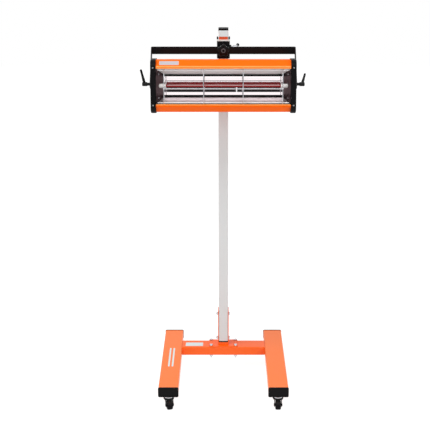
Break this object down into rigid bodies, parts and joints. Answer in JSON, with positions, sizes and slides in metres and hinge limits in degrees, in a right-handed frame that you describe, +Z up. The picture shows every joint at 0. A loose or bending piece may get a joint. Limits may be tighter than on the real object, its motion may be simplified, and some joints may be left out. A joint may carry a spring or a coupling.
{
  "type": "infrared curing lamp",
  "caption": "Infrared curing lamp on a rolling H-base: square mast, sliding carriage, swivelling yoke and a tilting orange head with a guarded reflector.",
  "frame": {"origin": "floor level, at the centre of the base", "axes": "+Z up along the mast, +Y to the rear, so the lamp faces -Y, +X to the right seen from the front"},
  "size_m": [0.651, 0.587, 1.4803],
  "materials": {
    "orange_paint": "semi-gloss orange powder paint",
    "black_powder_coat": "satin black powder coat",
    "black_plastic": "fine grained moulded plastic",
    "caster_tread": "matte rubber tread on a plastic hub",
    "mast_paint": "light silver grey paint",
    "zinc_steel": "bright zinc plate",
    "reflector": "polished aluminium sheet",
    "ruby_glass": "ruby quartz glass",
    "ceramic": "white unglazed ceramic",
    "nylon": "natural nylon"
  },
  "bodies": {
    "stand": {"leg_tube_left": "orange_paint", "leg_plug_front_left": "black_plastic", "leg_plug_rear_left": "black_plastic", "leg_tube_right": "orange_paint", "leg_plug_front_right": "black_plastic", "leg_plug_rear_right": "black_plastic", "cross_tube": "orange_paint", "mast_socket": "orange_paint", "socket_bolt_1": "zinc_steel", "socket_bolt_2": "zinc_steel", "socket_bolt_3": "zinc_steel", "socket_bolt_4": "zinc_steel", "mast_cross_bolt_lower": "zinc_steel", "mast_cross_bolt_upper": "zinc_steel", "mast_tube": "mast_paint", "mast_top_cap": "black_plastic", "caster_stem_front_left": "zinc_steel", "caster_stem_front_right": "zinc_steel", "caster_stem_rear_left": "zinc_steel", "caster_stem_rear_right": "zinc_steel"},
    "caster_fork_front_left": {"caster_fork_front_left": "black_powder_coat"},
    "caster_wheel_front_left": {"caster_wheel_front_left": "caster_tread"},
    "caster_fork_front_right": {"caster_fork_front_right": "black_powder_coat"},
    "caster_wheel_front_right": {"caster_wheel_front_right": "caster_tread"},
    "caster_fork_rear_left": {"caster_fork_rear_left": "black_powder_coat"},
    "caster_wheel_rear_left": {"caster_wheel_rear_left": "caster_tread"},
    "caster_fork_rear_right": {"caster_fork_rear_right": "black_powder_coat"},
    "caster_wheel_rear_right": {"caster_wheel_rear_right": "caster_tread"},
    "carriage": {"carriage_sleeve": "black_powder_coat", "carriage_glide_upper": "nylon", "carriage_glide_lower": "black_plastic", "yoke_pivot_stud": "zinc_steel", "friction_washer": "nylon"},
    "height_clamp": {"height_clamp_lever": "zinc_steel"},
    "yoke": {"yoke": "black_powder_coat"},
    "star_knob": {"star_knob": "black_plastic"},
    "head": {"upper_housing": "orange_paint", "lower_housing": "orange_paint", "rear_cover": "orange_paint", "reflector_upper": "reflector", "reflector_lower": "reflector", "reflector_back": "reflector", "infrared_tube": "ruby_glass", "guard_grid": "zinc_steel", "switch_body": "black_plastic", "cable_gland": "black_plastic", "terminal_block": "ceramic", "end_cap_left": "black_plastic", "end_cap_right": "black_plastic", "reflector_end_left": "reflector", "reflector_end_right": "reflector", "tube_end_left": "ceramic", "tube_end_right": "ceramic", "tube_clip_left": "zinc_steel", "tube_clip_right": "zinc_steel", "tilt_stud_left": "zinc_steel", "tilt_stud_right": "zinc_steel"},
    "switch_rocker": {"switch_rocker": "black_plastic"},
    "tilt_lever_left": {"tilt_lever_left": "black_plastic"},
    "tilt_lever_right": {"tilt_lever_right": "black_plastic"}
  },
  "joints": [
    {"name": "caster_swivel_front_left", "type": "hinge", "parent": "stand", "child": "caster_fork_front_left", "pos_m": [-0.221, -0.259, 0.05], "axis": [0, 0, 1], "continuous": true},
    {"name": "wheel_spin_front_left", "type": "hinge", "parent": "caster_fork_front_left", "child": "caster_wheel_front_left", "pos_m": [-0.21761, -0.27258, 0.02], "axis": [0.9703, 0.2419, 0], "continuous": true},
    {"name": "caster_swivel_front_right", "type": "hinge", "parent": "stand", "child": "caster_fork_front_right", "pos_m": [0.221, -0.259, 0.05], "axis": [0, 0, 1], "continuous": true},
    {"name": "wheel_spin_front_right", "type": "hinge", "parent": "caster_fork_front_right", "child": "caster_wheel_front_right", "pos_m": [0.221, -0.273, 0.02], "axis": [1, 0, 0], "continuous": true},
    {"name": "caster_swivel_rear_left", "type": "hinge", "parent": "stand", "child": "caster_fork_rear_left", "pos_m": [-0.221, 0.259, 0.05], "axis": [0, 0, 1], "continuous": true},
    {"name": "wheel_spin_rear_left", "type": "hinge", "parent": "caster_fork_rear_left", "child": "caster_wheel_rear_left", "pos_m": [-0.21621, 0.27216, 0.02], "axis": [-0.9397, 0.342, 0], "continuous": true},
    {"name": "caster_swivel_rear_right", "type": "hinge", "parent": "stand", "child": "caster_fork_rear_right", "pos_m": [0.221, 0.259, 0.05], "axis": [0, 0, 1], "continuous": true},
    {"name": "wheel_spin_rear_right", "type": "hinge", "parent": "caster_fork_rear_right", "child": "caster_wheel_rear_right", "pos_m": [0.21621, 0.27216, 0.02], "axis": [-0.9397, -0.342, 0], "continuous": true},
    {"name": "height_slide", "type": "slide", "parent": "stand", "child": "carriage", "axis": [0, 0, 1], "range_m": [-0.95, 0.03]},
    {"name": "height_clamp_turn", "type": "hinge", "parent": "carriage", "child": "height_clamp", "pos_m": [0.035, 0.142, 1.4035], "axis": [1, 0, 0], "range_deg": [-90, 90]},
    {"name": "yoke_swivel", "type": "hinge", "parent": "carriage", "child": "yoke", "pos_m": [0, 0.09, 1.397], "axis": [0, 1, 0], "range_deg": [-90, 90]},
    {"name": "star_knob_turn", "type": "hinge", "parent": "yoke", "child": "star_knob", "pos_m": [0, 0.075, 1.397], "axis": [0, 1, 0], "continuous": true},
    {"name": "head_tilt", "type": "hinge", "parent": "yoke", "child": "head", "pos_m": [0, -0.0273, 1.282], "axis": [1, 0, 0], "range_deg": [-90, 90]},
    {"name": "tilt_clamp_left_turn", "type": "hinge", "parent": "head", "child": "tilt_lever_left", "pos_m": [-0.3, -0.0273, 1.282], "axis": [1, 0, 0], "range_deg": [-90, 90]},
    {"name": "tilt_clamp_right_turn", "type": "hinge", "parent": "head", "child": "tilt_lever_right", "pos_m": [0.3, -0.0273, 1.282], "axis": [1, 0, 0], "range_deg": [-90, 90]},
    {"name": "switch_rock", "type": "hinge", "parent": "head", "child": "switch_rocker", "pos_m": [0.205, 0.0219, 1.2718], "axis": [0, 0.1045, 0.9945], "range_deg": [-16, 0]}
  ]
}
